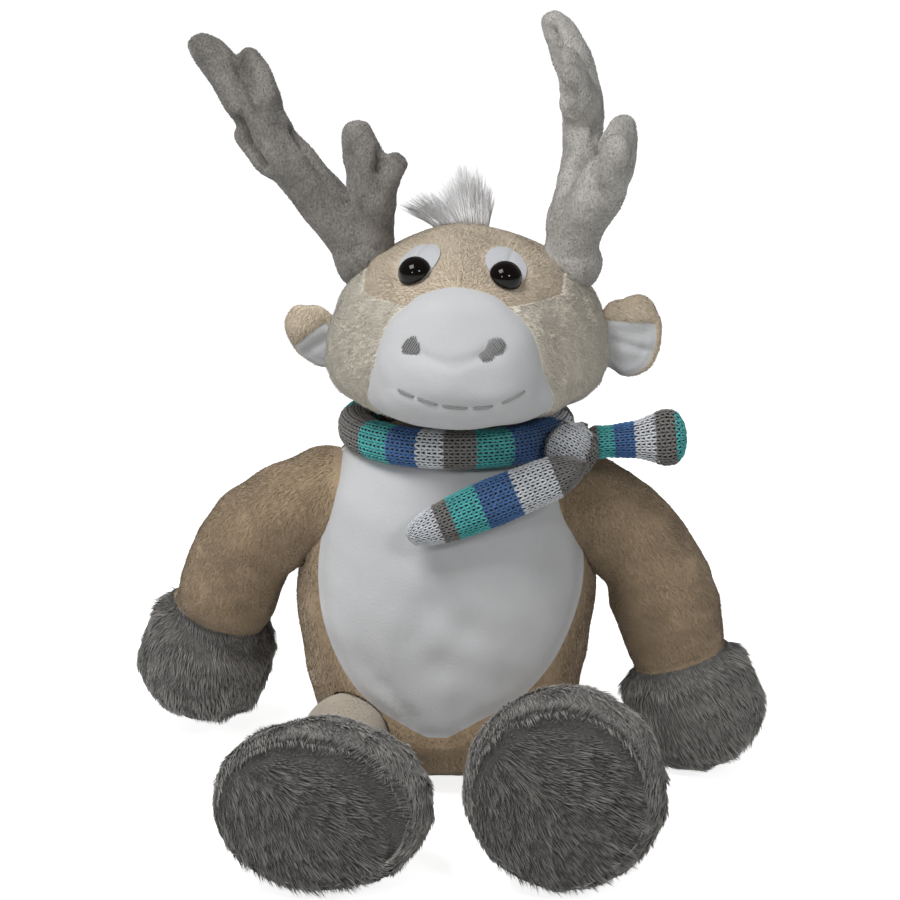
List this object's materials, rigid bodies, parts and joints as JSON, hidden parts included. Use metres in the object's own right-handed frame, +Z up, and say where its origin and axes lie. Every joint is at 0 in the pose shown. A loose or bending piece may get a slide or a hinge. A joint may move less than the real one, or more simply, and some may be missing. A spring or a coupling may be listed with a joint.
{
  "type": "plush deer",
  "caption": "Seated stuffed toy deer with branched soft antlers, folded ears, plush limbs and a padded knitted scarf; its head, limbs, ears, antlers and scarf ends move.",
  "frame": {"origin": "on the surface that it sits on, under the middle of its seat", "axes": "+Z up through the neck, and the deer faces -Y, with its left as seen from the front at -X"},
  "size_m": [0.2402, 0.2083, 0.2859],
  "materials": {
    "antler": "very short velour, warm grey",
    "beige": "short-pile plush, light brown",
    "cream": "curled medium-pile plush, pale cream",
    "eye": "polished, near-black brown",
    "fill": "loose polyester fibre",
    "grey": "long-pile plush, dark grey",
    "knit": "plain knitted yarn, striped teal, blue, grey and white",
    "pellets": "small plastic beads in a thin bag",
    "satin": "white satin with a soft crease",
    "thread": "grey embroidery thread",
    "washer": "moulded, natural white",
    "white": "smooth velour and long pile, white"
  },
  "bodies": {
    "torso": {"torso_back": "beige", "belly_panel": "white", "seat_panel": "beige", "torso_stuffing": "fill", "pellet_bag": "pellets", "scarf_collar": "knit", "scarf_knot": "knit"},
    "neck": {"neck_plug": "fill"},
    "head": {"cheek_left": "cream", "cheek_right": "cream", "chin_panel": "white", "crown_panel": "beige", "eye_left": "eye", "eye_patch_left": "satin", "eye_patch_right": "satin", "eye_right": "eye", "eye_washer_left": "washer", "eye_washer_right": "washer", "hair_tuft": "white", "head_back": "beige", "head_stuffing": "fill", "mouth_stitching": "thread", "muzzle_panel": "white", "nostril_left": "thread", "nostril_right": "thread"},
    "arm_left": {"arm_left": "beige", "arm_stuffing_left": "fill", "hoof_left": "grey"},
    "leg_left": {"foot_left_sole": "grey", "foot_left_upper": "grey", "leg_left": "beige", "leg_stuffing_left": "fill"},
    "ear_left": {"ear_left_lining": "white", "ear_left_outer": "beige"},
    "antler_left": {"antler_left": "antler"},
    "tail_left": {"scarf_tail_left": "knit"},
    "arm_right": {"arm_right": "beige", "arm_stuffing_right": "fill", "hoof_right": "grey"},
    "leg_right": {"foot_right_sole": "grey", "foot_right_upper": "grey", "leg_right": "beige", "leg_stuffing_right": "fill"},
    "ear_right": {"ear_right_lining": "white", "ear_right_outer": "beige"},
    "antler_right": {"antler_right": "antler"},
    "tail_right": {"scarf_tail_right": "knit"}
  },
  "joints": [
    {"name": "head_turn", "type": "hinge", "parent": "torso", "child": "neck", "pos_m": [0.0035, 0, 0.1308], "axis": [0, 0, 1], "range_deg": [-35, 35]},
    {"name": "head_nod", "type": "hinge", "parent": "neck", "child": "head", "pos_m": [0.0035, 0, 0.148], "axis": [-0.9976, 0.0698, 0], "range_deg": [-4, 9]},
    {"name": "shoulder_left", "type": "hinge", "parent": "torso", "child": "arm_left", "pos_m": [-0.04926, 0, 0.10597], "axis": [-1, 0, 0], "range_deg": [-30, 75]},
    {"name": "hip_left", "type": "hinge", "parent": "torso", "child": "leg_left", "pos_m": [-0.037, -0.0337, 0.0225], "axis": [-1, 0, 0], "range_deg": [0, 15]},
    {"name": "ear_left", "type": "hinge", "parent": "head", "child": "ear_left", "pos_m": [-0.04328, 0.00725, 0.17029], "axis": [-0.1388, 0.0097, 0.9903], "range_deg": [-10, 35]},
    {"name": "antler_left", "type": "hinge", "parent": "head", "child": "antler_left", "pos_m": [-0.03047, 0.00469, 0.19688], "axis": [0.9976, -0.0698, 0], "range_deg": [-10, 10]},
    {"name": "shoulder_right", "type": "hinge", "parent": "torso", "child": "arm_right", "pos_m": [0.04926, 0, 0.10597], "axis": [-1, 0, 0], "range_deg": [-30, 75]},
    {"name": "hip_right", "type": "hinge", "parent": "torso", "child": "leg_right", "pos_m": [0.037, -0.0337, 0.0225], "axis": [-1, 0, 0], "range_deg": [0, 15]},
    {"name": "ear_right", "type": "hinge", "parent": "head", "child": "ear_right", "pos_m": [0.05881, 0.00012, 0.17029], "axis": [0.1388, -0.0097, 0.9903], "range_deg": [-25, 25]},
    {"name": "antler_right", "type": "hinge", "parent": "head", "child": "antler_right", "pos_m": [0.04577, -0.00064, 0.19688], "axis": [0.9976, -0.0698, 0], "range_deg": [-10, 10]},
    {"name": "scarf_tail_left", "type": "hinge", "parent": "torso", "child": "tail_left", "pos_m": [0.04739, -0.04452, 0.12995], "axis": [-0.3737, -0.0261, 0.9272], "range_deg": [0, 60]},
    {"name": "scarf_tail_right", "type": "hinge", "parent": "torso", "child": "tail_right", "pos_m": [0.05722, -0.02341, 0.13394], "axis": [0, -1, 0], "range_deg": [-60, 20]}
  ]
}
